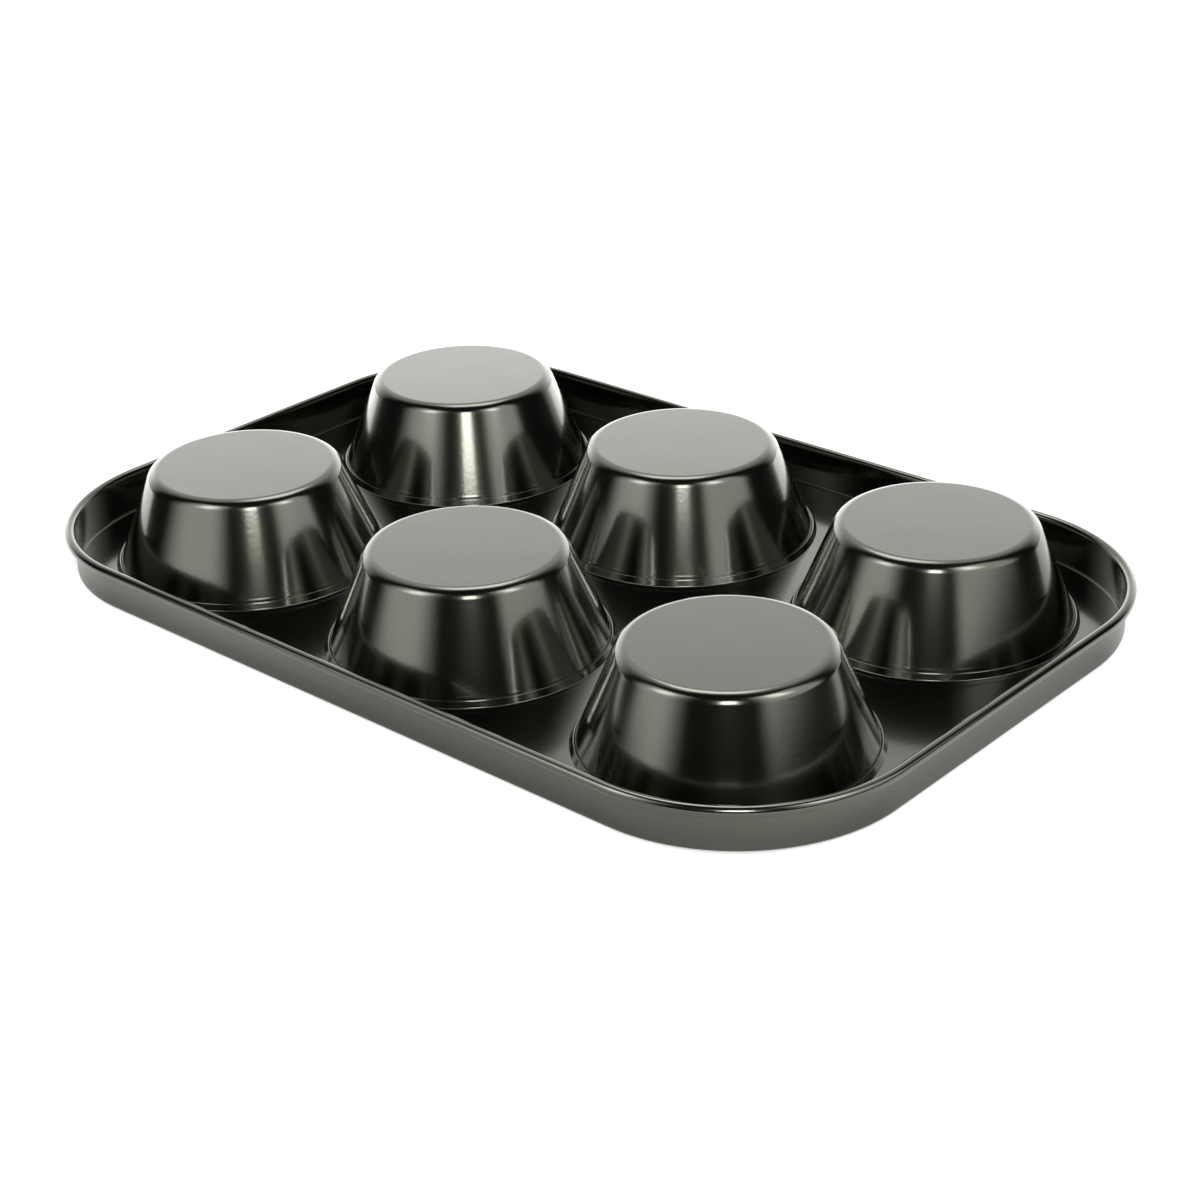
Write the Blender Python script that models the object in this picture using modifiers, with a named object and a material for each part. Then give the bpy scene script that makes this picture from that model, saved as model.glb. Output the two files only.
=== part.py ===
"""Six-cup muffin pan, lying upside down with its cup bottoms up.

A pressed sheet-steel tray has six holes, each with a low collar turned up round it. A drawn cup
stands in each hole: its lip lies under the deck and a small swaged bead sits above the collar, so
the cup can't drop out either way. The tray's edge is folded up into a skirt and rolled outwards
round a steel wire.

The origin is the middle of the plane that the cup lips lie on. +X runs along the long side, +Z up
out of the cup bottoms.
"""

import math

import bmesh
import bpy
from mathutils import Vector

MM = 0.001

# Sheet and clearances
SHEET = 0.5 * MM
SEAM_GAP = 0.3 * MM
WIRE_GAP = 0.25 * MM

# Cups
COLUMNS = ("left", "middle", "right")
ROWS = ("front", "rear")
CUP_HEIGHT = 26.9 * MM
CUP_FLAT_DIAMETER = 46.0 * MM
CUP_MOUTH_DIAMETER = 73.3 * MM
SHOULDER_RADIUS = 3.4 * MM
LIP_WIDTH = 2.4 * MM
LOCK_BEAD_HEIGHT = 1.2 * MM
LOCK_BEAD_CREST = 0.4 * MM
LOCK_BEAD_DEPTH = 0.45 * MM

# Tray
COLUMN_WEB = 9.2 * MM
ROW_WEB = 10.1 * MM
END_MARGIN = 11.95 * MM
SIDE_MARGIN = 9.8 * MM
CORNER_RADIUS = 46.0 * MM
FOLD_RADIUS = 1.2 * MM
COLLAR_HEIGHT = 1.7 * MM
COLLAR_FILLET = 0.5 * MM

# Rolled rim
RIM_HEIGHT = 12.05 * MM
WIRE_DIAMETER = 1.2 * MM
ROLL_START = 180.0
ROLL_END = -105.0

# Finishes
COATING_COLOR = (0.022, 0.022, 0.019)
COATING_ROUGHNESS = 0.28
WIRE_COLOR = (0.56, 0.56, 0.55)
WIRE_ROUGHNESS = 0.35

# Facets
CUP_STEPS = 32
CORNER_STEPS = 8
SHOULDER_STEPS = 3
FILLET_STEPS = 2
FOLD_STEPS = 3
ROLL_STEPS = 10
WIRE_RESOLUTION = 2
CREASE_DEGREES = 40.0
MERGE_DISTANCE = 0.01 * MM

# Places that follow from the sizes
COLUMN_PITCH = CUP_MOUTH_DIAMETER + COLUMN_WEB
ROW_PITCH = CUP_MOUTH_DIAMETER + ROW_WEB
MOUTH_RADIUS = CUP_MOUTH_DIAMETER / 2
WIRE_HALF_LENGTH = COLUMN_PITCH * (len(COLUMNS) - 1) / 2 + MOUTH_RADIUS + END_MARGIN
WIRE_HALF_WIDTH = ROW_PITCH * (len(ROWS) - 1) / 2 + MOUTH_RADIUS + SIDE_MARGIN
DECK_BOTTOM = SHEET + SEAM_GAP
DECK_TOP = DECK_BOTTOM + SHEET
ROLL_RADIUS = WIRE_DIAMETER / 2 + WIRE_GAP + SHEET
ROLL_CENTRE_HEIGHT = DECK_BOTTOM + RIM_HEIGHT - ROLL_RADIUS


def arc(centre, radius, start, end, steps):
    """Points of an arc in the (r, z) plane, from angle start to angle end in degrees."""
    points = []
    for step in range(steps + 1):
        angle = math.radians(start + (end - start) * step / steps)
        points.append((centre[0] + radius * math.cos(angle), centre[1] + radius * math.sin(angle)))
    return points


class CupWall:
    """The straight wall line, tangent to the shoulder's arc and to the fillet above the lip."""

    shoulder_centre = (CUP_FLAT_DIAMETER / 2, CUP_HEIGHT - SHOULDER_RADIUS)
    fillet_centre = (MOUTH_RADIUS, DECK_TOP + COLLAR_FILLET)
    fillet_radius = COLLAR_FILLET + SHEET + SEAM_GAP
    run = fillet_centre[0] - shoulder_centre[0]
    rise = fillet_centre[1] - shoulder_centre[1]
    tilt = math.atan2(rise, run) + math.acos((SHOULDER_RADIUS + fillet_radius) / math.hypot(run, rise))
    tilt_degrees = math.degrees(tilt)
    collar_length = (COLLAR_HEIGHT - COLLAR_FILLET * (1 - math.sin(tilt))) / math.cos(tilt)

    @classmethod
    def point(cls, along, out):
        """Point at a distance along the wall above its foot and a distance out from its outer face."""
        outwards = (math.cos(cls.tilt), math.sin(cls.tilt))
        upwards = (-math.sin(cls.tilt), math.cos(cls.tilt))
        depth = out - cls.fillet_radius
        radius = cls.fillet_centre[0] + outwards[0] * depth + upwards[0] * along
        height = cls.fillet_centre[1] + outwards[1] * depth + upwards[1] * along
        return radius, height


def cup_section():
    """Outer face of a cup as (r, z) points, from the middle of its bottom down to the lip's edge."""
    bead_foot = CupWall.collar_length + SEAM_GAP
    bead_flank = (LOCK_BEAD_HEIGHT - LOCK_BEAD_CREST) / 2
    section = [(0.0, CUP_HEIGHT)]
    section += arc(CupWall.shoulder_centre, SHOULDER_RADIUS, 90, CupWall.tilt_degrees, SHOULDER_STEPS)
    section.append(CupWall.point(bead_foot + LOCK_BEAD_HEIGHT, 0))
    section.append(CupWall.point(bead_foot + LOCK_BEAD_HEIGHT - bead_flank, LOCK_BEAD_DEPTH))
    section.append(CupWall.point(bead_foot + bead_flank, LOCK_BEAD_DEPTH))
    section.append(CupWall.point(bead_foot, 0))
    section += arc(
        CupWall.fillet_centre, CupWall.fillet_radius, 180 + CupWall.tilt_degrees, 270, FILLET_STEPS
    )
    section.append((MOUTH_RADIUS + LIP_WIDTH, SHEET))
    return section


def collar_section():
    """Upper face of a hole's collar as (r, z) points, from the deck up to the collar's cut edge."""
    section = arc(
        CupWall.fillet_centre, COLLAR_FILLET, 270, 180 + CupWall.tilt_degrees, FILLET_STEPS
    )
    section.append(CupWall.point(CupWall.collar_length, SHEET + SEAM_GAP))
    return section


def rim_section():
    """Upper face from the deck's edge over fold, skirt and roll, as (out from the wire, z) points."""
    fold_centre = (-ROLL_RADIUS - FOLD_RADIUS, DECK_TOP + FOLD_RADIUS)
    section = arc(fold_centre, FOLD_RADIUS, -90, 0, FOLD_STEPS)
    section += arc((0.0, ROLL_CENTRE_HEIGHT), ROLL_RADIUS, ROLL_START, ROLL_END, ROLL_STEPS)
    return section


def cup_places():
    """Each cup's name and the place of its axis."""
    places = []
    for row, row_name in enumerate(ROWS):
        for column, column_name in enumerate(COLUMNS):
            x = (column - (len(COLUMNS) - 1) / 2) * COLUMN_PITCH
            y = (row - (len(ROWS) - 1) / 2) * ROW_PITCH
            places.append((f"cup_{row_name}_{column_name}", Vector((x, y, 0.0))))
    return places


def corner_centre(point):
    """Centre of the rounded corner that a point of the tray's edge belongs to."""
    x = math.copysign(WIRE_HALF_LENGTH - CORNER_RADIUS, point.x)
    y = math.copysign(WIRE_HALF_WIDTH - CORNER_RADIUS, point.y)
    return Vector((x, y, point.z))


def rounded_outline(out, height):
    """Points of the tray's outline, at a distance out from the wire's centre line."""
    points = []
    for corner in range(4):
        for step in range(CORNER_STEPS + 1):
            angle = math.radians(90 * (corner + step / CORNER_STEPS))
            direction = Vector((math.cos(angle), math.sin(angle), 0.0))
            middle = math.radians(90 * corner + 45)
            centre = corner_centre(Vector((math.cos(middle), math.sin(middle), height)))
            points.append(centre + direction * (CORNER_RADIUS + out))
    return points


def closed_loop(bm, points):
    """Edges of a closed loop through the points."""
    verts = [bm.verts.new(point) for point in points]
    return [bm.edges.new((verts[i - 1], verts[i])) for i in range(len(verts))]


def extend_loop(bm, edges, centre_of, section):
    """Extrude a closed loop along a section, moving each point straight out from its centre."""
    for (out, height), (next_out, next_height) in zip(section, section[1:]):
        made = bmesh.ops.extrude_edge_only(bm, edges=edges)["geom"]
        fresh = {item for item in made if isinstance(item, bmesh.types.BMVert)}
        for vert in fresh:
            direction = (vert.co - centre_of(vert.co)).normalized()
            vert.co += direction * (next_out - out)
            vert.co.z += next_height - height
        new_edges = [item for item in made if isinstance(item, bmesh.types.BMEdge)]
        edges = [edge for edge in new_edges if fresh.issuperset(edge.verts)]


def add_object(name, data, collection, parent, material):
    """Link a new object under the pan's empty and give it its material."""
    thing = bpy.data.objects.new(name, data)
    thing.parent = parent
    if not data.materials:
        data.materials.append(material)
    collection.objects.link(thing)
    return thing


def add_thickness(thing):
    """Turn an open face that points outwards into sheet metal, towards its inner side."""
    solidify = thing.modifiers.new("sheet", "SOLIDIFY")
    solidify.thickness = SHEET
    solidify.offset = -1
    solidify.use_even_offset = True
    solidify.use_quality_normals = True


def build_tray_frame(collection, parent, material):
    """Deck with six collared holes, folded skirt and rolled rim, as one sheet."""
    bm = bmesh.new()
    rim = rim_section()
    deck_edge = closed_loop(bm, rounded_outline(*rim[0]))
    extend_loop(bm, deck_edge, corner_centre, rim)
    collar = collar_section()
    deck_edges = list(deck_edge)
    for _, place in cup_places():
        hole_points = []
        for step in range(CUP_STEPS):
            angle = 2 * math.pi * step / CUP_STEPS
            direction = Vector((math.cos(angle), math.sin(angle), 0.0))
            hole_points.append(place + direction * collar[0][0] + Vector((0, 0, collar[0][1])))
        hole_edge = closed_loop(bm, hole_points)
        extend_loop(bm, hole_edge, lambda point, axis=place: Vector((axis.x, axis.y, point.z)), collar)
        deck_edges += hole_edge
    deck = bmesh.ops.triangle_fill(bm, edges=deck_edges, use_beauty=True, normal=(0, 0, 1))
    bmesh.ops.recalc_face_normals(bm, faces=bm.faces)
    deck_faces = [item for item in deck["geom"] if isinstance(item, bmesh.types.BMFace)]
    if deck_faces[0].normal.z < 0:
        bmesh.ops.reverse_faces(bm, faces=bm.faces)
    mesh = bpy.data.meshes.new("tray_frame")
    bm.to_mesh(mesh)
    bm.free()
    tray = add_object("tray_frame", mesh, collection, parent, material)
    add_thickness(tray)
    shade(mesh)


def build_cups(collection, parent, material):
    """Six cups: one turned section, spun round each cup's own axis."""
    section = cup_section()
    mesh = bpy.data.meshes.new("cup_section")
    mesh.from_pydata([(r, 0.0, z) for r, z in section], [(i, i + 1) for i in range(len(section) - 1)], [])
    for name, place in cup_places():
        cup = add_object(name, mesh, collection, parent, material)
        cup.location = place
        screw = cup.modifiers.new("turned", "SCREW")
        screw.steps = CUP_STEPS
        screw.render_steps = CUP_STEPS
        screw.use_merge_vertices = True
        screw.merge_threshold = MERGE_DISTANCE
        screw.use_smooth_shade = True
        add_thickness(cup)


def build_rim_wire(collection, parent, material):
    """Round wire that lies inside the rolled edge, bent to the tray's outline."""
    curve = bpy.data.curves.new("rim_wire", "CURVE")
    curve.dimensions = "3D"
    curve.bevel_depth = WIRE_DIAMETER / 2
    curve.bevel_resolution = WIRE_RESOLUTION
    points = rounded_outline(0.0, ROLL_CENTRE_HEIGHT)
    spline = curve.splines.new("POLY")
    spline.points.add(len(points) - 1)
    for spline_point, point in zip(spline.points, points):
        spline_point.co = (*point, 1.0)
    spline.use_cyclic_u = True
    add_object("rim_wire", curve, collection, parent, material)


def shade(mesh):
    """Smooth shading with the folds kept crisp."""
    mesh.shade_smooth()
    mesh.set_sharp_from_angle(angle=math.radians(CREASE_DEGREES))


def finish(name, color, roughness, metallic):
    """Principled material."""
    material = bpy.data.materials.new(name)
    material.use_nodes = True
    shader = material.node_tree.nodes["Principled BSDF"]
    shader.inputs["Base Color"].default_value = (*color, 1.0)
    shader.inputs["Roughness"].default_value = roughness
    shader.inputs["Metallic"].default_value = metallic
    return material


def main():
    """Build the pan in an empty scene."""
    for thing in list(bpy.data.objects):
        bpy.data.objects.remove(thing)
    collection = bpy.data.collections.new("muffin_pan")
    bpy.context.scene.collection.children.link(collection)
    origin = bpy.data.objects.new("muffin_pan", None)
    collection.objects.link(origin)
    coated_steel = finish("non_stick_coated_steel", COATING_COLOR, COATING_ROUGHNESS, 0.0)
    bright_steel = finish("steel_wire", WIRE_COLOR, WIRE_ROUGHNESS, 1.0)
    build_tray_frame(collection, origin, coated_steel)
    build_cups(collection, origin, coated_steel)
    build_rim_wire(collection, origin, bright_steel)


main()
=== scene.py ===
"""Looks of a six-cup muffin pan: fine pressed sheet, non-stick finish, studio and camera.

The pan lies upside down with its cup bottoms up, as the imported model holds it. Every piece of the
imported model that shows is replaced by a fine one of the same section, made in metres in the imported
model's own frame: +X along the long side, +Z up out of the cup bottoms.
"""

import logging
import math
from dataclasses import dataclass
from enum import Enum
from typing import Any, ClassVar

import bmesh
import bpy
from mathutils import Matrix, Vector


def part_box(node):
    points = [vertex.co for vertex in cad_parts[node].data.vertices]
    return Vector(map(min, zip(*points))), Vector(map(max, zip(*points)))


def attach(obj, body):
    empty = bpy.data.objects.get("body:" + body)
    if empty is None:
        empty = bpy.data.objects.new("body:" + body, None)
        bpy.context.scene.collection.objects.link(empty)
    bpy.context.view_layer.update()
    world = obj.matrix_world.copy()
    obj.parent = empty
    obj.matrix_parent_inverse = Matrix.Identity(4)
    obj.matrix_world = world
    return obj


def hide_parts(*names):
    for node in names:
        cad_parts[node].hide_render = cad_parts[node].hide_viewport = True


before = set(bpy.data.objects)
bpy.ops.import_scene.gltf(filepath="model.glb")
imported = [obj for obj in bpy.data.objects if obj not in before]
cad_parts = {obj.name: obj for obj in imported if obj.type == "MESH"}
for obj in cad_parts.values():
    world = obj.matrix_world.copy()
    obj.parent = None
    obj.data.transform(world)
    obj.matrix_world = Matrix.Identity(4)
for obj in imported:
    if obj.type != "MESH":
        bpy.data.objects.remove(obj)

LOG = logging.getLogger("muffin_pan")
MM = 0.001
UP = Vector((0.0, 0.0, 1.0))
FULL_TURN = 2 * math.pi
MERGE_DISTANCE = 0.001 * MM
SHORTEST_RUN_IN_HOLDS = 4

SectionPoint = tuple[float, float]
Color = tuple[float, float, float, float]


class Slot(Enum):
    """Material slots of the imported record."""

    COATED_STEEL = "coated_steel"
    WIRE_STEEL = "wire_steel"


def arc(
    centre: SectionPoint, radius: float, start: float, end: float, steps: int
) -> list[SectionPoint]:
    """Points of an arc in a section plane.

    Args:
        centre: The arc's centre.
        radius: The arc's radius.
        start: Angle of the first point in degrees, 0 outwards and 90 up.
        end: Angle of the last point in degrees.
        steps: Number of chords.

    Returns:
        steps + 1 points from start to end.
    """
    points = []
    for step in range(steps + 1):
        angle = math.radians(start + (end - start) * step / steps)
        points.append((centre[0] + radius * math.cos(angle), centre[1] + radius * math.sin(angle)))
    return points


def hold_flats(points: list[SectionPoint], hold: float) -> list[SectionPoint]:
    """Adds a point close to both ends of each straight run that is long enough for them.

    Smooth shading then bends only in the folds, and the flats between them stay flat.

    Args:
        points: The section.
        hold: Distance of the added points from the ends of their run.

    Returns:
        The section with the added points.
    """
    held = [points[0]]
    for (r0, z0), (r1, z1) in zip(points, points[1:]):
        length = math.hypot(r1 - r0, z1 - z0)
        if length > SHORTEST_RUN_IN_HOLDS * hold:
            share = hold / length
            held.append((r0 + (r1 - r0) * share, z0 + (z1 - z0) * share))
            held.append((r1 + (r0 - r1) * share, z1 + (z0 - z1) * share))
        held.append((r1, z1))
    return held


def section_chain(
    bm: bmesh.types.BMesh, points: list[SectionPoint], place: Vector
) -> list[bmesh.types.BMVert | bmesh.types.BMEdge]:
    """Adds a section as an open chain of edges in the XZ plane.

    Args:
        bm: The bmesh that the chain goes into.
        points: The section as (out along +X, height) points.
        place: Where the section's zero point lies.

    Returns:
        The chain's vertices and edges.
    """
    verts = [bm.verts.new(place + Vector((out, 0.0, height))) for out, height in points]
    edges = [bm.edges.new(pair) for pair in zip(verts, verts[1:])]
    return [*verts, *edges]


def turn_section(bm: bmesh.types.BMesh, points: list[SectionPoint], axis: Vector, steps: int) -> None:
    """Turns a section once round an upright axis.

    Args:
        bm: The bmesh that the turned surface goes into.
        points: The section as (radius, height) points.
        axis: A point of the axis.
        steps: Number of steps in the full turn.
    """
    chain = section_chain(bm, points, axis)
    bmesh.ops.spin(
        bm, geom=chain, cent=axis, axis=UP, angle=FULL_TURN, steps=steps, use_merge=True
    )


def face_up(bm: bmesh.types.BMesh, height: float) -> None:
    """Turns a surface over if its flat at a height looks down.

    Args:
        bm: A surface whose faces agree with each other.
        height: Height of a flat that should look up.
    """
    flats = [face for face in bm.faces if abs(face.calc_center_median().z - height) < MERGE_DISTANCE]
    if flats[0].normal.z < 0:
        bmesh.ops.reverse_faces(bm, faces=bm.faces)


def sort_by_place(bm: bmesh.types.BMesh) -> None:
    """Puts a bmesh's vertices, edges and faces in an order that their places give.

    Blender's operators leave them in an order that changes from run to run. Sorted, they give the modifiers
    the same mesh on every run.

    Args:
        bm: The finished bmesh, with no two vertices in one place.
    """
    placed = sorted(bm.verts, key=lambda vert: vert.co[:])
    points = {vert: rank for rank, vert in enumerate(placed)}
    bm.verts.sort(key=lambda vert: points[vert])
    for items in (bm.edges, bm.faces):
        placed = sorted(items, key=lambda item: sorted(points[vert] for vert in item.verts))
        ranks = {item: rank for rank, item in enumerate(placed)}
        items.sort(key=lambda item: ranks[item])


def as_object(bm: bmesh.types.BMesh, name: str) -> bpy.types.Object:
    """Turns a bmesh into a smooth-shaded object at the origin and frees it.

    Args:
        bm: The finished bmesh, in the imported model's frame.
        name: The new object's name.

    Returns:
        The new object, linked to the scene.
    """
    for face in bm.faces:
        face.smooth = True
    sort_by_place(bm)
    mesh = bpy.data.meshes.new(name)
    bm.to_mesh(mesh)
    bm.free()
    piece = bpy.data.objects.new(name, mesh)
    bpy.context.scene.collection.objects.link(piece)
    return piece


@dataclass(frozen=True)
class Sheet:
    """Steel strip that the tray and the cups are pressed from, and how closely they are seamed."""

    thickness: float = 0.5 * MM
    seam_gap: float = 0.05 * MM
    cut_edge_round: float = 0.08 * MM
    cut_edge_steps: int = 2
    cut_edge_angle: float = math.radians(60)
    hold: float = 0.2 * MM

    @property
    def deck_bottom(self) -> float:
        """Height of the deck's lower face above the plane that the cup lips lie on."""
        return self.thickness + self.seam_gap

    @property
    def deck_top(self) -> float:
        """Height of the deck's upper face."""
        return self.deck_bottom + self.thickness

    def give_thickness(self, piece: bpy.types.Object) -> None:
        """Turns an open outer face into sheet metal with slightly rounded cut edges.

        Args:
            piece: A piece whose mesh is the sheet's outer face.
        """
        solidify = piece.modifiers.new("sheet", "SOLIDIFY")
        solidify.thickness = self.thickness
        solidify.offset = -1
        solidify.use_even_offset = True
        solidify.use_quality_normals = True
        bevel = piece.modifiers.new("cut_edges", "BEVEL")
        bevel.width = self.cut_edge_round
        bevel.segments = self.cut_edge_steps
        bevel.limit_method = "ANGLE"
        bevel.angle_limit = self.cut_edge_angle


@dataclass(frozen=True)
class CupSection:
    """Turned section of a drawn cup and of the collar that it stands in.

    The wall is a straight line, tangent to the shoulder's arc and to the fillet above the lip. The
    collar lies one seam gap outside it, and its fillet has the same centre as the cup's.
    """

    sheet: Sheet
    height: float
    lip_radius: float
    flat_radius: float = 23.0 * MM
    shoulder_radius: float = 3.4 * MM
    lip_width: float = 2.4 * MM
    collar_height: float = 1.7 * MM
    collar_fillet: float = 0.25 * MM
    bead_height: float = 1.2 * MM
    bead_depth: float = 0.015 * MM
    shoulder_steps: int = 18
    fillet_steps: int = 8
    bead_steps: int = 10
    turn_steps: int = 192

    @property
    def mouth_radius(self) -> float:
        """Radius at which the cup's fillet runs out into the lip."""
        return self.lip_radius - self.lip_width

    @property
    def shoulder_centre(self) -> SectionPoint:
        """Centre of the rounded shoulder round the flat bottom."""
        return self.flat_radius, self.height - self.shoulder_radius

    @property
    def fillet_centre(self) -> SectionPoint:
        """Centre of the fillet above the cup's lip."""
        return self.mouth_radius, self.sheet.deck_top + self.collar_fillet

    @property
    def fillet_radius(self) -> float:
        """Radius of the cup's own fillet, under the collar."""
        return self.collar_fillet + self.sheet.thickness + self.sheet.seam_gap

    @property
    def tilt(self) -> float:
        """Angle of the wall's outward normal above the horizon."""
        run = self.fillet_centre[0] - self.shoulder_centre[0]
        rise = self.fillet_centre[1] - self.shoulder_centre[1]
        reach = self.shoulder_radius + self.fillet_radius
        return math.atan2(rise, run) + math.acos(reach / math.hypot(run, rise))

    @property
    def collar_length(self) -> float:
        """Length of the collar's straight part, along the wall."""
        rise_of_fillet = self.collar_fillet * (1 - math.sin(self.tilt))
        return (self.collar_height - rise_of_fillet) / math.cos(self.tilt)

    def wall_point(self, along: float, out: float) -> SectionPoint:
        """Point at a distance along the wall above its foot and a distance out from its outer face.

        Args:
            along: Distance up the wall from the end of the foot's fillet.
            out: Distance from the wall's outer face.

        Returns:
            The point in the (radius, height) plane.
        """
        depth = out - self.fillet_radius
        radius = self.fillet_centre[0] + math.cos(self.tilt) * depth - math.sin(self.tilt) * along
        height = self.fillet_centre[1] + math.sin(self.tilt) * depth + math.cos(self.tilt) * along
        return radius, height

    def bead(self) -> list[SectionPoint]:
        """Swaged bead that keeps the cup from dropping through its collar, from the top down."""
        foot = self.collar_length + self.sheet.seam_gap
        points = []
        for step in range(self.bead_steps + 1):
            share = 1 - step / self.bead_steps
            out = self.bead_depth * (1 - math.cos(FULL_TURN * share)) / 2
            points.append(self.wall_point(foot + self.bead_height * share, out))
        return points

    def cup(self) -> list[SectionPoint]:
        """Outer face of the cup, from the middle of its bottom down to the lip's edge."""
        tilt_degrees = math.degrees(self.tilt)
        points = [(0.0, self.height)]
        points += arc(
            self.shoulder_centre, self.shoulder_radius, 90, tilt_degrees, self.shoulder_steps
        )
        points += self.bead()
        points += arc(
            self.fillet_centre, self.fillet_radius, 180 + tilt_degrees, 270, self.fillet_steps
        )
        points.append((self.lip_radius, self.sheet.thickness))
        return hold_flats(points, self.sheet.hold)

    def collar(self) -> list[SectionPoint]:
        """Upper face of the collar, from the deck round the hole up to the collar's cut edge."""
        points = [(self.mouth_radius + self.sheet.hold, self.sheet.deck_top)]
        points += arc(
            self.fillet_centre, self.collar_fillet, 270, 180 + math.degrees(self.tilt), self.fillet_steps
        )
        points.append(self.wall_point(self.collar_length, self.sheet.thickness + self.sheet.seam_gap))
        return hold_flats(points, self.sheet.hold)


@dataclass(frozen=True)
class RimSection:
    """Section of the tray's edge: the fold, the upright skirt and the roll over the wire."""

    sheet: Sheet
    top: float
    fold_radius: float = 0.6 * MM
    wire_radius: float = 0.6 * MM
    wire_gap: float = 0.25 * MM
    roll_start: float = 180.0
    roll_end: float = -105.0
    fold_steps: int = 8
    roll_steps: int = 36
    wire_steps: int = 20

    @property
    def roll_radius(self) -> float:
        """Outer radius of the roll."""
        return self.wire_radius + self.wire_gap + self.sheet.thickness

    @property
    def roll_height(self) -> float:
        """Height of the wire's centre line."""
        return self.top - self.roll_radius

    def points(self) -> list[SectionPoint]:
        """Upper face from the deck's edge over fold, skirt and roll, as (out from the wire, z)."""
        fold_out = -self.roll_radius - self.fold_radius
        points = [(fold_out - self.sheet.hold, self.sheet.deck_top)]
        points += arc(
            (fold_out, self.sheet.deck_top + self.fold_radius), self.fold_radius, -90, 0, self.fold_steps
        )
        points += arc(
            (0.0, self.roll_height), self.roll_radius, self.roll_start, self.roll_end, self.roll_steps
        )
        return hold_flats(points, self.sheet.hold)


@dataclass(frozen=True)
class TrayOutline:
    """Rounded rectangle that the tray's rim and the wire in it follow."""

    half_length: float
    half_width: float
    corner_radius: float = 46.0 * MM
    corner_steps: int = 48
    hold: float = 0.4 * MM

    @property
    def corners(self) -> list[Vector]:
        """Centres of the four rounded corners, anticlockwise from the right rear one."""
        x = self.half_length - self.corner_radius
        y = self.half_width - self.corner_radius
        return [Vector((sx * x, sy * y, 0.0)) for sx, sy in ((1, 1), (-1, 1), (-1, -1), (1, -1))]

    @property
    def start(self) -> Vector:
        """Point of the outline where a sweep starts, at the right rear corner's right end."""
        return self.corners[0] + Vector((self.corner_radius, 0.0, 0.0))

    def sweep(
        self, bm: bmesh.types.BMesh, chain: list[bmesh.types.BMVert | bmesh.types.BMEdge]
    ) -> None:
        """Carries a section once round the outline: a quarter spin in each corner, then a straight run.

        Args:
            bm: The bmesh that the swept surface goes into.
            chain: Vertices and edges of a section that stands at the outline's start.
        """
        corners = self.corners
        for corner, next_corner in zip(corners, corners[1:] + corners[:1]):
            spun = bmesh.ops.spin(
                bm, geom=chain, cent=corner, axis=UP, angle=FULL_TURN / 4, steps=self.corner_steps
            )
            chain = spun["geom_last"]
            run = next_corner - corner
            ends = run.normalized() * self.hold
            for move in (ends, run - 2 * ends, ends):
                chain = self.extend(bm, chain, move)
        bmesh.ops.remove_doubles(bm, verts=bm.verts, dist=MERGE_DISTANCE)

    @staticmethod
    def extend(
        bm: bmesh.types.BMesh, chain: list[bmesh.types.BMVert | bmesh.types.BMEdge], move: Vector
    ) -> list[bmesh.types.BMVert | bmesh.types.BMEdge]:
        """Extrudes a section along a straight move.

        Args:
            bm: The bmesh that holds the section.
            chain: The section's vertices and edges.
            move: How far and where the section goes.

        Returns:
            Vertices and edges of the section at its new place.
        """
        edges = [item for item in chain if isinstance(item, bmesh.types.BMEdge)]
        made = bmesh.ops.extrude_edge_only(bm, edges=edges)["geom"]
        verts = [item for item in made if isinstance(item, bmesh.types.BMVert)]
        bmesh.ops.translate(bm, verts=verts, vec=move)
        new = set(verts)
        new_edges = [item for item in made if isinstance(item, bmesh.types.BMEdge)]
        return [*verts, *[edge for edge in new_edges if new.issuperset(edge.verts)]]


def add_node(
    tree: bpy.types.NodeTree,
    kind: str,
    settings: dict[str, Any] | None = None,
    values: dict[str | int, Any] | None = None,
    links: dict[str | int, bpy.types.NodeSocket] | None = None,
) -> bpy.types.Node:
    """Adds one shader node with its settings and links.

    Args:
        tree: The node tree.
        kind: The node's type name.
        settings: Attributes of the node.
        values: Values of input sockets, by name or number.
        links: Sockets that feed the node's inputs, by the input's name or number.

    Returns:
        The new node.
    """
    node = tree.nodes.new(kind)
    for name, value in (settings or {}).items():
        setattr(node, name, value)
    for name, value in (values or {}).items():
        node.inputs[name].default_value = value
    for name, socket in (links or {}).items():
        tree.links.new(socket, node.inputs[name])
    return node


def ramp(
    tree: bpy.types.NodeTree,
    value: bpy.types.NodeSocket,
    span: tuple[float, float],
    levels: tuple[float, float],
    form: str = "LINEAR",
) -> bpy.types.NodeSocket:
    """Adds a ramp that holds its end levels outside its span.

    Args:
        tree: The node tree.
        value: The value that the ramp follows.
        span: Values at which the ramp starts and ends.
        levels: Results at the start and at the end.
        form: The Map Range node's interpolation.

    Returns:
        The ramp's result.
    """
    ends = {"From Min": span[0], "From Max": span[1], "To Min": levels[0], "To Max": levels[1]}
    node = add_node(tree, "ShaderNodeMapRange", {"interpolation_type": form}, ends, {"Value": value})
    return node.outputs["Result"]


def combine(
    tree: bpy.types.NodeTree, operation: str, *inputs: bpy.types.NodeSocket
) -> bpy.types.NodeSocket:
    """Adds a Math node on one or two sockets and returns its value."""
    links = dict(enumerate(inputs))
    return add_node(tree, "ShaderNodeMath", {"operation": operation}, links=links).outputs["Value"]


def linear(code: str) -> Color:
    """Linear colour of an sRGB hex value.

    Args:
        code: Six hex digits after a #.

    Returns:
        Red, green, blue and a full alpha.
    """
    channels = [int(code[start : start + 2], 16) / 255 for start in (1, 3, 5)]
    red, green, blue = (c / 12.92 if c <= 0.04045 else ((c + 0.055) / 1.055) ** 2.4 for c in channels)
    return red, green, blue, 1.0


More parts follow.
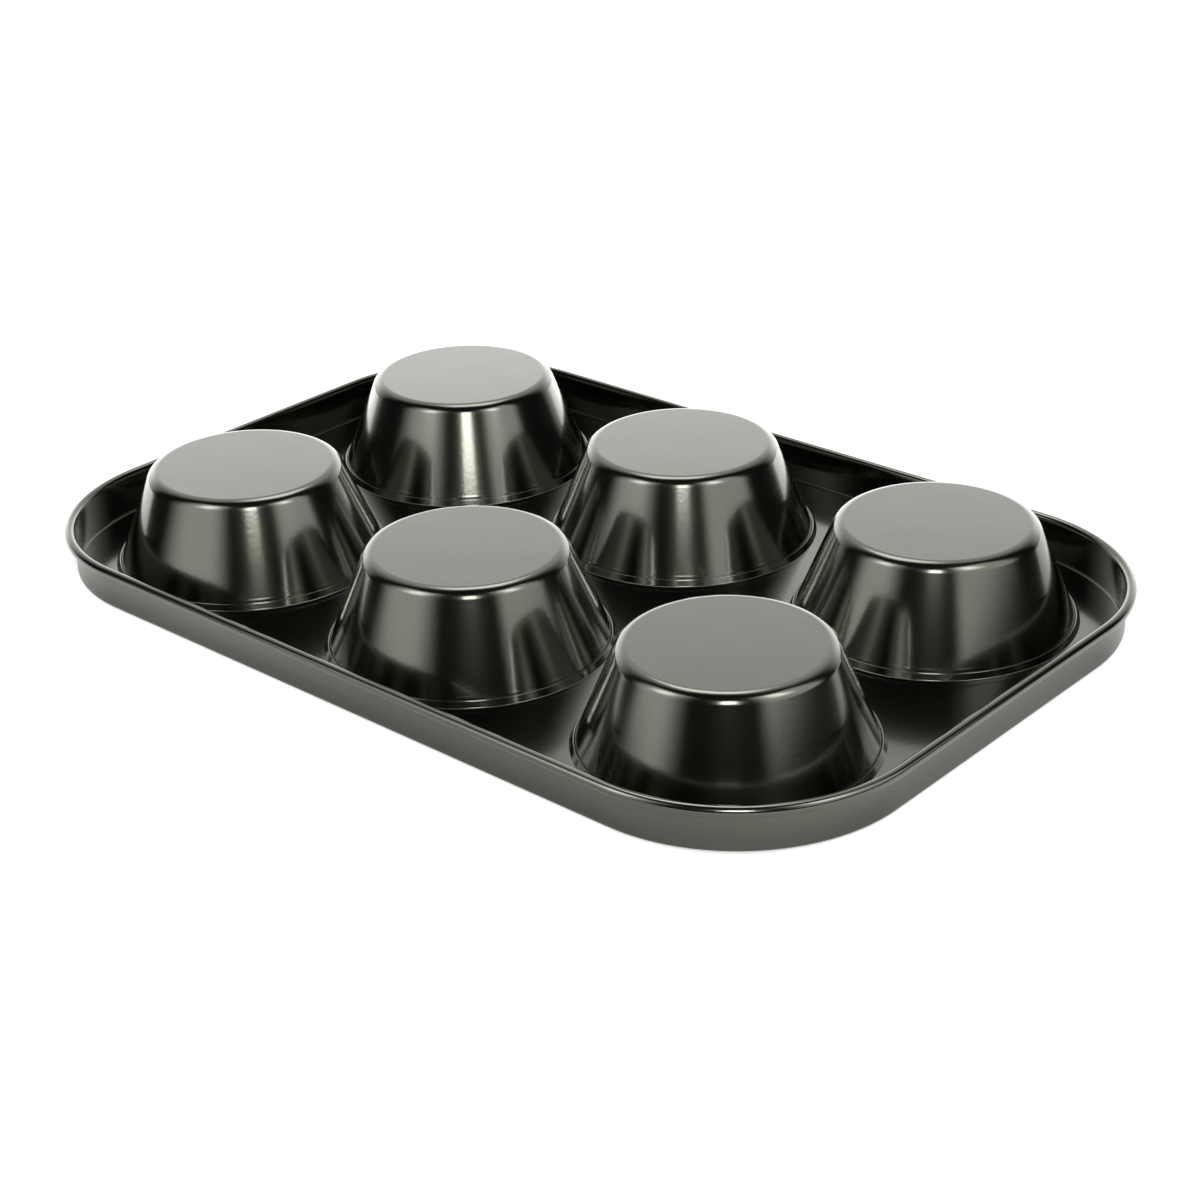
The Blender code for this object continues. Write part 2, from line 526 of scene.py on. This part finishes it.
def cells_per_metre(spacing: float) -> float:
    """Noise scale whose cells are one spacing wide, because Object coordinates are in metres."""
    return 1 / spacing


@dataclass(frozen=True)
class NonStickCoating:
    """Dark silicone non-stick lacquer with metal flake, roller-coated on steel strip and baked.

    The flake under a clear binder gives an olive-grey sheen like dark metal, not a paint's body
    colour. The binder keeps a glossy skin over it, with a faint orange peel from the roller. The
    strip is coated flat and then pressed, so the lacquer is unbroken over the folds. Real flake is
    some hundredths of a millimetre across, too fine to show, and is drawn coarser here.
    """

    NOISE_SPAN: ClassVar[tuple[float, float]] = (0.3, 0.7)

    name: str = "non_stick_coated_steel"
    light_flake: str = "#5f6057"
    dark_flake: str = "#55564b"
    metallic: float = 1.0
    roughness: float = 0.17
    roughness_spread: float = 0.04
    skin_weight: float = 1.0
    skin_roughness: float = 0.1
    flake_spacing: float = 0.45 * MM
    flake_detail: float = 2.0
    peel_spacing: float = 1.1 * MM
    peel_detail: float = 1.0
    peel_height: float = 0.007 * MM
    wave_spacing: float = 14.0 * MM
    wave_detail: float = 0.0
    wave_height: float = 0.03 * MM
    smear_spacing: float = 38.0 * MM
    smear_detail: float = 3.0

    def build(self) -> bpy.types.Material:
        """Makes the material, with its patterns on Object coordinates."""
        material = bpy.data.materials.new(self.name)
        material.use_nodes = True
        tree = material.node_tree
        shader = tree.nodes["Principled BSDF"]
        shader.inputs["Metallic"].default_value = self.metallic
        shader.inputs["Coat Weight"].default_value = self.skin_weight
        shader.inputs["Coat Roughness"].default_value = self.skin_roughness
        place = add_node(tree, "ShaderNodeTexCoord").outputs["Object"]
        flake = self.noise(tree, place, self.flake_spacing, self.flake_detail)
        smear = self.noise(tree, place, self.smear_spacing, self.smear_detail)
        color = add_node(
            tree,
            "ShaderNodeMix",
            {"data_type": "RGBA"},
            {"A": linear(self.dark_flake), "B": linear(self.light_flake)},
            {"Factor": flake},
        )
        tree.links.new(color.outputs["Result"], shader.inputs["Base Color"])
        half_spread = self.roughness_spread / 2
        levels = (self.roughness - half_spread, self.roughness + half_spread)
        tree.links.new(ramp(tree, smear, self.NOISE_SPAN, levels), shader.inputs["Roughness"])
        waves = self.noise(tree, place, self.wave_spacing, self.wave_detail)
        wave = self.relief(tree, waves, self.wave_height)
        dimples = self.noise(tree, place, self.peel_spacing, self.peel_detail)
        peel = self.relief(tree, dimples, self.peel_height, wave)
        tree.links.new(peel, shader.inputs["Normal"])
        tree.links.new(peel, shader.inputs["Coat Normal"])
        return material

    @staticmethod
    def noise(
        tree: bpy.types.NodeTree, place: bpy.types.NodeSocket, spacing: float, detail: float
    ) -> bpy.types.NodeSocket:
        """Adds a noise whose cells are one spacing wide, and returns its value.

        Args:
            tree: The material's node tree.
            place: Object coordinates.
            spacing: Real width of a cell.
            detail: Number of finer octaves.

        Returns:
            The noise's value, about 0.3 to 0.7.
        """
        values = {"Scale": cells_per_metre(spacing), "Detail": detail}
        node = add_node(tree, "ShaderNodeTexNoise", values=values, links={"Vector": place})
        return node.outputs["Fac"]

    @staticmethod
    def relief(
        tree: bpy.types.NodeTree,
        height: bpy.types.NodeSocket,
        depth: float,
        under: bpy.types.NodeSocket | None = None,
    ) -> bpy.types.NodeSocket:
        """Adds a bump of a real height, on top of another one.

        Args:
            tree: The material's node tree.
            height: The height pattern, 0 to 1.
            depth: Real height of the pattern from 0 to 1.
            under: Normal of the coarser relief below it.

        Returns:
            The bumped normal.
        """
        links = {"Height": height}
        if under is not None:
            links["Normal"] = under
        node = add_node(tree, "ShaderNodeBump", values={"Distance": depth}, links=links)
        return node.outputs["Normal"]


@dataclass(frozen=True)
class DrawnWire:
    """Bright steel wire drawn through a die, which leaves fine marks and a soft shine.

    The real marks are finer, and are drawn as coarse as they need to be to show.
    """

    name: str = "drawn_steel_wire"
    color: str = "#c5c4c0"
    dull_color: str = "#aeaca7"
    metallic: float = 1.0
    roughness: float = 0.34
    mark_spacing: float = 0.25 * MM
    mark_detail: float = 3.0

    def build(self) -> bpy.types.Material:
        """Makes the material, with its drawing marks on Object coordinates."""
        material = bpy.data.materials.new(self.name)
        material.use_nodes = True
        tree = material.node_tree
        shader = tree.nodes["Principled BSDF"]
        shader.inputs["Metallic"].default_value = self.metallic
        shader.inputs["Roughness"].default_value = self.roughness
        place = add_node(tree, "ShaderNodeTexCoord").outputs["Object"]
        marks = add_node(
            tree,
            "ShaderNodeTexNoise",
            values={"Scale": cells_per_metre(self.mark_spacing), "Detail": self.mark_detail},
            links={"Vector": place},
        )
        color = add_node(
            tree,
            "ShaderNodeMix",
            {"data_type": "RGBA"},
            {"A": linear(self.dull_color), "B": linear(self.color)},
            {"Factor": marks.outputs["Fac"]},
        )
        tree.links.new(color.outputs["Result"], shader.inputs["Base Color"])
        return material


class Piece:
    """A finished piece: rides on the pan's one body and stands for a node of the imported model."""

    def __init__(self, node: str, slot: Slot, material: bpy.types.Material) -> None:
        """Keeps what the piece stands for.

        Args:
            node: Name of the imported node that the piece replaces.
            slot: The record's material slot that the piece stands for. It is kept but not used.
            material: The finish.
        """
        self.node = node
        self.slot = slot
        self.material = material
        self.low, self.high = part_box(node)

    def dress(self, piece: bpy.types.Object) -> bpy.types.Object:
        """Gives a built object its finish and its place on the pan.

        Args:
            piece: The built object, at the origin.

        Returns:
            The same object.
        """
        piece.data.materials.append(self.material)
        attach(piece, "root")
        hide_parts(self.node)
        LOG.info("%s stands for %s: %d faces", piece.name, self.node, len(piece.data.polygons))
        return piece


class DrawnCup(Piece):
    """One drawn cup, turned from its section."""

    def __init__(self, node: str, sheet: Sheet, material: bpy.types.Material) -> None:
        """Reads the cup's place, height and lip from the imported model.

        Args:
            node: Name of the cup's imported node.
            sheet: The steel sheet.
            material: The coating.
        """
        super().__init__(node, Slot.COATED_STEEL, material)
        self.sheet = sheet
        middle = (self.low + self.high) / 2
        self.axis = Vector((middle.x, middle.y, 0.0))
        self.section = CupSection(sheet, self.high.z, (self.high.x - self.low.x) / 2)

    def build(self) -> bpy.types.Object:
        """Turns the cup's outer face and gives it thickness."""
        bm = bmesh.new()
        turn_section(bm, self.section.cup(), self.axis, self.section.turn_steps)
        bmesh.ops.remove_doubles(bm, verts=bm.verts, dist=MERGE_DISTANCE)
        bmesh.ops.recalc_face_normals(bm, faces=bm.faces)
        face_up(bm, self.high.z)
        piece = as_object(bm, f"drawn_{self.node}")
        self.sheet.give_thickness(piece)
        return self.dress(piece)


class PressedTray(Piece):
    """The tray: a deck with six collared holes, a folded skirt and a rim rolled over the wire."""

    def __init__(self, cups: list[DrawnCup], sheet: Sheet, material: bpy.types.Material) -> None:
        """Reads the rim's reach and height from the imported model.

        Args:
            cups: The cups, whose collars the tray holds.
            sheet: The steel sheet.
            material: The coating.
        """
        super().__init__("tray_frame", Slot.COATED_STEEL, material)
        self.cups = cups
        self.sheet = sheet
        self.rim = RimSection(sheet, self.high.z)
        reach = self.rim.roll_radius
        self.outline = TrayOutline(self.high.x - reach, self.high.y - reach)

    def build(self) -> bpy.types.Object:
        """Sweeps the rim, turns the collars and fills the deck between them."""
        bm = bmesh.new()
        self.outline.sweep(bm, section_chain(bm, self.rim.points(), self.outline.start))
        for cup in self.cups:
            turn_section(bm, cup.section.collar(), cup.axis, cup.section.turn_steps)
        bmesh.ops.remove_doubles(bm, verts=bm.verts, dist=MERGE_DISTANCE)
        bmesh.ops.triangle_fill(bm, edges=self.deck_edges(bm), use_beauty=True, normal=UP)
        bmesh.ops.recalc_face_normals(bm, faces=bm.faces)
        face_up(bm, self.sheet.deck_top)
        piece = as_object(bm, "pressed_tray")
        self.sheet.give_thickness(piece)
        return self.dress(piece)

    def deck_edges(self, bm: bmesh.types.BMesh) -> list[bmesh.types.BMEdge]:
        """Open edges round the deck: its outer edge and the foot of each collar.

        Args:
            bm: The rim and the collars, before the deck is filled.

        Returns:
            The edges that bound the deck.
        """
        level = self.sheet.deck_top
        rims = [edge for edge in bm.edges if edge.is_boundary]
        return [e for e in rims if all(abs(v.co.z - level) < MERGE_DISTANCE for v in e.verts)]


class EdgeWire(Piece):
    """Round wire that stiffens the rolled edge."""

    def __init__(self, tray: PressedTray, material: bpy.types.Material) -> None:
        """Takes the wire's path from the tray.

        Args:
            tray: The tray that is rolled over the wire.
            material: The wire's finish.
        """
        super().__init__("rim_wire", Slot.WIRE_STEEL, material)
        self.tray = tray

    def build(self) -> bpy.types.Object:
        """Sweeps the wire's round section along the tray's outline."""
        bm = bmesh.new()
        rim = self.tray.rim
        place = self.tray.outline.start + UP * rim.roll_height
        ring = bmesh.ops.create_circle(
            bm,
            segments=rim.wire_steps,
            radius=rim.wire_radius,
            matrix=Matrix.Translation(place) @ Matrix.Rotation(math.pi / 2, 4, "X"),
        )
        self.tray.outline.sweep(bm, [*ring["verts"], *bm.edges])
        bmesh.ops.recalc_face_normals(bm, faces=bm.faces)
        return self.dress(as_object(bm, "edge_wire"))


@dataclass(frozen=True)
class PhotoCamera:
    """Camera at the photograph's viewing angle, found from the cup bottoms and the rim."""

    azimuth: float = 42.144
    elevation: float = 26.55
    roll: float = -1.689
    distance: float = 617.9 * MM
    target: tuple[float, float, float] = (10.96 * MM, -5.13 * MM, 0.8 * MM)
    focal_length: float = 71.6
    sensor_width: float = 36.0

    def toward(self, bearing: float, elevation: float) -> Vector:
        """Direction from the pan, by its bearing from the camera.

        Args:
            bearing: Degrees from the camera's own direction, positive to the camera's right.
            elevation: Degrees above the horizon.

        Returns:
            A unit vector.
        """
        azimuth = math.radians(self.azimuth + bearing)
        level = math.cos(math.radians(elevation))
        height = math.sin(math.radians(elevation))
        return Vector((math.sin(azimuth) * level, -math.cos(azimuth) * level, height))

    def place(self) -> None:
        """Adds the camera and makes it the scene's."""
        back = self.toward(0.0, self.elevation)
        right = UP.cross(back).normalized()
        up = back.cross(right)
        turn = math.radians(self.roll)
        rolled_right = right * math.cos(turn) + up * math.sin(turn)
        rolled_up = up * math.cos(turn) - right * math.sin(turn)
        data = bpy.data.cameras.new("photo_camera")
        data.lens = self.focal_length
        data.sensor_width = self.sensor_width
        camera = bpy.data.objects.new("photo_camera", data)
        axes = Matrix((rolled_right, rolled_up, back)).transposed().to_4x4()
        camera.matrix_world = Matrix.Translation(Vector(self.target) + back * self.distance) @ axes
        bpy.context.scene.collection.objects.link(camera)
        bpy.context.scene.camera = camera


@dataclass(frozen=True)
class SoftBox:
    """Soft rectangular lamp that looks at the pan and grows dimmer toward its edges.

    It stands upright unless it is tilted down over the pan.

    Attributes:
        name: Name of the lamp.
        bearing: Degrees from the camera's direction, positive to the camera's right.
        distance: Level distance from the pan's middle.
        height: Height of the lamp's middle.
        width: Level size.
        tall: Upright size.
        brightness: How bright the middle shows in a mirror, where 1 is white.
        side_fade: How far in from each side the light rises to its full level.
        end_fade: The same from the top and the bottom.
        tilt: Degrees that the lamp looks down.
        WATTS_PER_AREA: Watts per square metre of lamp for a brightness of 1.
        MIDDLE: Share of a side at which its middle lies.
    """

    WATTS_PER_AREA: ClassVar[float] = 4.0
    MIDDLE: ClassVar[float] = 0.5

    name: str
    bearing: float
    distance: float
    height: float
    width: float
    tall: float
    brightness: float
    side_fade: float
    end_fade: float
    tilt: float = 0.0

    def place(self, camera: PhotoCamera) -> None:
        """Adds the lamp.

        Args:
            camera: The camera that the bearing is measured from.
        """
        data = bpy.data.lights.new(self.name, "AREA")
        data.shape = "RECTANGLE"
        data.size = self.width
        data.size_y = self.tall
        data.energy = self.brightness * self.WATTS_PER_AREA * self.width * self.tall
        data.use_nodes = True
        self.soften(data.node_tree)
        lamp = bpy.data.objects.new(self.name, data)
        lamp.location = camera.toward(self.bearing, 0.0) * self.distance + UP * self.height
        lamp.rotation_euler = camera.toward(self.bearing, self.tilt).to_track_quat("Z", "Y").to_euler()
        lamp.visible_camera = False
        bpy.context.scene.collection.objects.link(lamp)

    def soften(self, tree: bpy.types.NodeTree) -> None:
        """Fades the lamp's brightness out toward its sides and its ends.

        Args:
            tree: The lamp's node tree.
        """
        face = add_node(tree, "ShaderNodeNewGeometry").outputs["Parametric"]
        shares = add_node(tree, "ShaderNodeSeparateXYZ", links={"Vector": face})
        fades = []
        for axis, fade in (("X", self.side_fade / self.width), ("Y", self.end_fade / self.tall)):
            share = shares.outputs[axis]
            edge = add_node(
                tree, "ShaderNodeMath", {"operation": "PINGPONG"}, {1: self.MIDDLE}, {0: share}
            ).outputs["Value"]
            fades.append(ramp(tree, edge, (0.0, fade), (0.0, 1.0), "SMOOTHSTEP"))
        strength = combine(tree, "MULTIPLY", *fades)
        tree.links.new(strength, tree.nodes["Emission"].inputs["Strength"])


@dataclass(frozen=True)
class Studio:
    """White card and backdrop in a dark room, with soft boxes, a strip lamp and a lamp overhead.

    Levels are shares of white. The backdrop's spans are degrees, and the card's are metres.

    Attributes:
        camera: The camera that all bearings are measured from.
        outline: The rim's outline, round which the card is shaded.
        room_brightness: Level of the dark room in reflections.
        backdrop_sides: How far round from straight behind the pan the backdrop's sides fade.
        low_backdrop: Heights between which the backdrop's lower, brighter part fades.
        low_brightness: Level of that part.
        high_backdrop: Heights between which the backdrop's upper part fades.
        high_brightness: Level of that part.
        fill_brightness: Level of the world's light on matt surfaces.
        card_length: The card's size from front to back.
        card_width: The card's size across.
        card_setback: How far the card's middle lies behind the pan.
        card_color: The card's own colour.
        card_glow: What lifts the card to white for the camera, near the pan and past its shadow.
        shadow_span: Distances from the pan's middle between which that lift grows.
        mirrored_glow: Glow of the card in reflections.
        contact_glow: Share of that glow left under the rim.
        contact_reach: How far out from the rim the glow is shaded.
        dim_bearing: Bearing of a patch of card that is dim in reflections.
        dim_distance: Distance of the patch from the pan's middle.
        dim_span: Distances from the patch's middle between which the glow returns.
        back_glow: What the card behind the pan adds to the glow in reflections.
        back_span: Distances behind the pan between which that grows.
    """

    camera: PhotoCamera
    outline: TrayOutline
    room_brightness: float = 0.02
    backdrop_sides: tuple[float, float] = (28.0, 64.5)
    low_backdrop: tuple[float, float] = (12.0, 31.5)
    low_brightness: float = 1.1
    high_backdrop: tuple[float, float] = (55.0, 85.0)
    high_brightness: float = 0.91
    fill_brightness: float = 0.1
    card_length: float = 1.3
    card_width: float = 0.75
    card_setback: float = 0.25
    card_color: str = "#f0f0f0"
    card_glow: tuple[float, float] = (0.6, 1.0)
    shadow_span: tuple[float, float] = (0.14, 0.3)
    mirrored_glow: float = 0.44
    contact_glow: float = 0.1
    contact_reach: float = 21.0 * MM
    dim_bearing: float = -11.0
    dim_distance: float = 0.1
    dim_span: tuple[float, float] = (0.05, 0.11)
    back_glow: float = 1.3
    back_span: tuple[float, float] = (0.05, 0.2)

    def lamps(self) -> list[SoftBox]:
        """The soft boxes with their bulbs, the strip lamp over the camera and the lamp overhead."""
        return [
            SoftBox(
                "left_soft_box",
                bearing=-58.7,
                distance=0.332,
                height=0.26,
                width=0.44,
                tall=0.5,
                brightness=1.18,
                side_fade=0.165,
                end_fade=0.05,
            ),
            SoftBox(
                "left_bulb",
                bearing=-56.5,
                distance=0.326,
                height=0.275,
                width=0.2,
                tall=0.32,
                brightness=3.5,
                side_fade=0.1,
                end_fade=0.12,
            ),
            SoftBox(
                "right_soft_box",
                bearing=52.3,
                distance=0.312,
                height=0.29,
                width=0.38,
                tall=0.5,
                brightness=1.06,
                side_fade=0.08,
                end_fade=0.046,
            ),
            SoftBox(
                "right_bulb",
                bearing=45.5,
                distance=0.306,
                height=0.295,
                width=0.16,
                tall=0.32,
                brightness=3.8,
                side_fade=0.08,
                end_fade=0.1,
            ),
            SoftBox(
                "strip_lamp",
                bearing=1.5,
                distance=0.52,
                height=0.37,
                width=0.145,
                tall=0.31,
                brightness=7.9,
                side_fade=0.02,
                end_fade=0.025,
            ),
            SoftBox(
                "top_lamp",
                bearing=180.0,
                distance=0.26,
                height=0.6,
                width=0.4,
                tall=0.4,
                brightness=2.8,
                side_fade=0.13,
                end_fade=0.13,
                tilt=66.0,
            ),
        ]

    def build(self) -> None:
        """Adds the lamps, the world and the card, and sets plain colour output."""
        for lamp in self.lamps():
            lamp.place(self.camera)
        self.build_world()
        self.build_card()
        bpy.context.scene.view_settings.view_transform = "Standard"

    def build_world(self) -> None:
        """White to the camera; to reflections a white backdrop behind the pan and a dark room round it."""
        world = bpy.data.worlds.new("studio")
        bpy.context.scene.world = world
        world.use_nodes = True
        world.cycles.sampling_method = "NONE"
        tree = world.node_tree
        tree.nodes.clear()
        direction = add_node(tree, "ShaderNodeTexCoord").outputs["Generated"]
        along = [self.reach(tree, direction, bearing) for bearing in (180.0, 90.0)]
        bearing = combine(tree, "ABSOLUTE", combine(tree, "ARCTAN2", along[1], along[0]))
        bearing = combine(tree, "DEGREES", bearing)
        height = add_node(tree, "ShaderNodeSeparateXYZ", links={"Vector": direction}).outputs["Z"]
        elevation = combine(tree, "DEGREES", combine(tree, "ARCSINE", height))
        low = ramp(tree, elevation, self.low_backdrop, (self.low_brightness, 0.0), "SMOOTHSTEP")
        high = ramp(tree, elevation, self.high_backdrop, (self.high_brightness, 0.0), "SMOOTHSTEP")
        sides = ramp(tree, bearing, self.backdrop_sides, (1.0, 0.0))
        lit = combine(tree, "MULTIPLY", combine(tree, "ADD", low, high), sides)
        seen = add_node(
            tree, "ShaderNodeMath", {"operation": "ADD"}, {1: self.room_brightness}, {0: lit}
        ).outputs["Value"]
        path = add_node(tree, "ShaderNodeLightPath")
        glossy = path.outputs["Is Glossy Ray"]
        fill = add_node(
            tree, "ShaderNodeMix", values={"A": self.fill_brightness}, links={"Factor": glossy, "B": seen}
        ).outputs["Result"]
        camera_ray = path.outputs["Is Camera Ray"]
        strength = add_node(
            tree, "ShaderNodeMix", values={"B": 1.0}, links={"Factor": camera_ray, "A": fill}
        ).outputs["Result"]
        sky = add_node(tree, "ShaderNodeBackground", links={"Strength": strength})
        sky.inputs["Color"].default_value = linear("#ffffff")
        add_node(tree, "ShaderNodeOutputWorld", links={"Surface": sky.outputs["Background"]})

    def reach(
        self, tree: bpy.types.NodeTree, direction: bpy.types.NodeSocket, bearing: float
    ) -> bpy.types.NodeSocket:
        """Part of a direction that goes toward a level bearing from the camera.

        Args:
            tree: The node tree.
            direction: A direction or a place.
            bearing: Degrees from the camera's direction.

        Returns:
            The dot product.
        """
        node = add_node(
            tree,
            "ShaderNodeVectorMath",
            {"operation": "DOT_PRODUCT"},
            {1: self.camera.toward(bearing, 0.0)},
            {0: direction},
        )
        return node.outputs["Value"]

    def build_card(self) -> None:
        """White card under the pan, which keeps the pan's soft shadow."""
        bm = bmesh.new()
        # The size is half a side, so this is a square metre, which is then scaled to the card.
        bmesh.ops.create_grid(bm, x_segments=1, y_segments=1, size=0.5)
        bmesh.ops.scale(bm, vec=(self.card_width, self.card_length, 1.0), verts=bm.verts)
        bmesh.ops.translate(bm, vec=(0.0, self.card_setback, 0.0), verts=bm.verts)
        turn = Matrix.Rotation(math.radians(self.camera.azimuth), 3, "Z")
        bmesh.ops.rotate(bm, matrix=turn, verts=bm.verts)
        card = as_object(bm, "white_card")
        card.data.materials.append(self.card_material())

    def card_material(self) -> bpy.types.Material:
        """Matt white card: lifted to white for the camera, and to reflections dim in front of the pan."""
        material = bpy.data.materials.new("matt_white_card")
        material.use_nodes = True
        tree = material.node_tree
        tree.nodes.clear()
        card = add_node(tree, "ShaderNodeBsdfDiffuse", values={"Color": linear(self.card_color)})
        path = add_node(tree, "ShaderNodeLightPath")
        place = add_node(tree, "ShaderNodeTexCoord").outputs["Object"]
        from_pan = add_node(
            tree, "ShaderNodeVectorMath", {"operation": "LENGTH"}, links={0: place}
        ).outputs["Value"]
        lift = ramp(tree, from_pan, self.shadow_span, self.card_glow)
        seen = combine(tree, "MULTIPLY", lift, path.outputs["Is Camera Ray"])
        dim_place = self.camera.toward(self.dim_bearing, 0.0) * self.dim_distance
        from_dim = add_node(
            tree, "ShaderNodeVectorMath", {"operation": "DISTANCE"}, {1: dim_place}, {0: place}
        ).outputs["Value"]
        round_dim = ramp(tree, from_dim, self.dim_span, (0.0, self.mirrored_glow))
        behind = ramp(tree, self.reach(tree, place, 180.0), self.back_span, (0.0, self.back_glow))
        bright = combine(tree, "MULTIPLY", combine(tree, "ADD", round_dim, behind), self.contact(tree, place))
        mirrored = combine(tree, "MULTIPLY", bright, path.outputs["Is Glossy Ray"])
        glow = add_node(
            tree,
            "ShaderNodeEmission",
            values={"Color": linear("#ffffff")},
            links={"Strength": combine(tree, "ADD", seen, mirrored)},
        )
        surface = add_node(tree, "ShaderNodeAddShader", links={0: card.outputs[0], 1: glow.outputs[0]})
        add_node(tree, "ShaderNodeOutputMaterial", links={"Surface": surface.outputs["Shader"]})
        return material

    def contact(self, tree: bpy.types.NodeTree, place: bpy.types.NodeSocket) -> bpy.types.NodeSocket:
        """Share of the mirrored glow that is left close to the pan: a painted contact shadow in reflections,
        where its skirt shades the card.

        Args:
            tree: The card's node tree.
            place: Object coordinates on the card.

        Returns:
            The share, lowest under the rim and 1 away from it.
        """
        kind = "ShaderNodeVectorMath"
        past = add_node(tree, kind, {"operation": "ABSOLUTE"}, links={0: place}).outputs["Vector"]
        past = add_node(tree, kind, {"operation": "SUBTRACT"}, {1: self.outline.corners[0]}, {0: past})
        past = add_node(tree, kind, {"operation": "MAXIMUM"}, {1: Vector()}, {0: past.outputs["Vector"]})
        far = add_node(tree, kind, {"operation": "LENGTH"}, links={0: past.outputs["Vector"]})
        rim = self.outline.corner_radius
        span = (rim, rim + self.contact_reach)
        return ramp(tree, far.outputs["Value"], span, (self.contact_glow, 1.0))


def main() -> None:
    """Builds the pan's pieces in order, then the studio and the camera."""
    logging.basicConfig(level=logging.INFO, format="%(name)s: %(message)s")
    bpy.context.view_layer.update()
    sheet = Sheet()
    coating = NonStickCoating().build()
    cups = [DrawnCup(node, sheet, coating) for node in sorted(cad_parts) if node.startswith("cup_")]
    tray = PressedTray(cups, sheet, coating)
    wire = EdgeWire(tray, DrawnWire().build())
    for piece in (*cups, tray, wire):
        piece.build()
    camera = PhotoCamera()
    camera.place()
    Studio(camera, tray.outline).build()


if __name__ == "__main__":
    main()
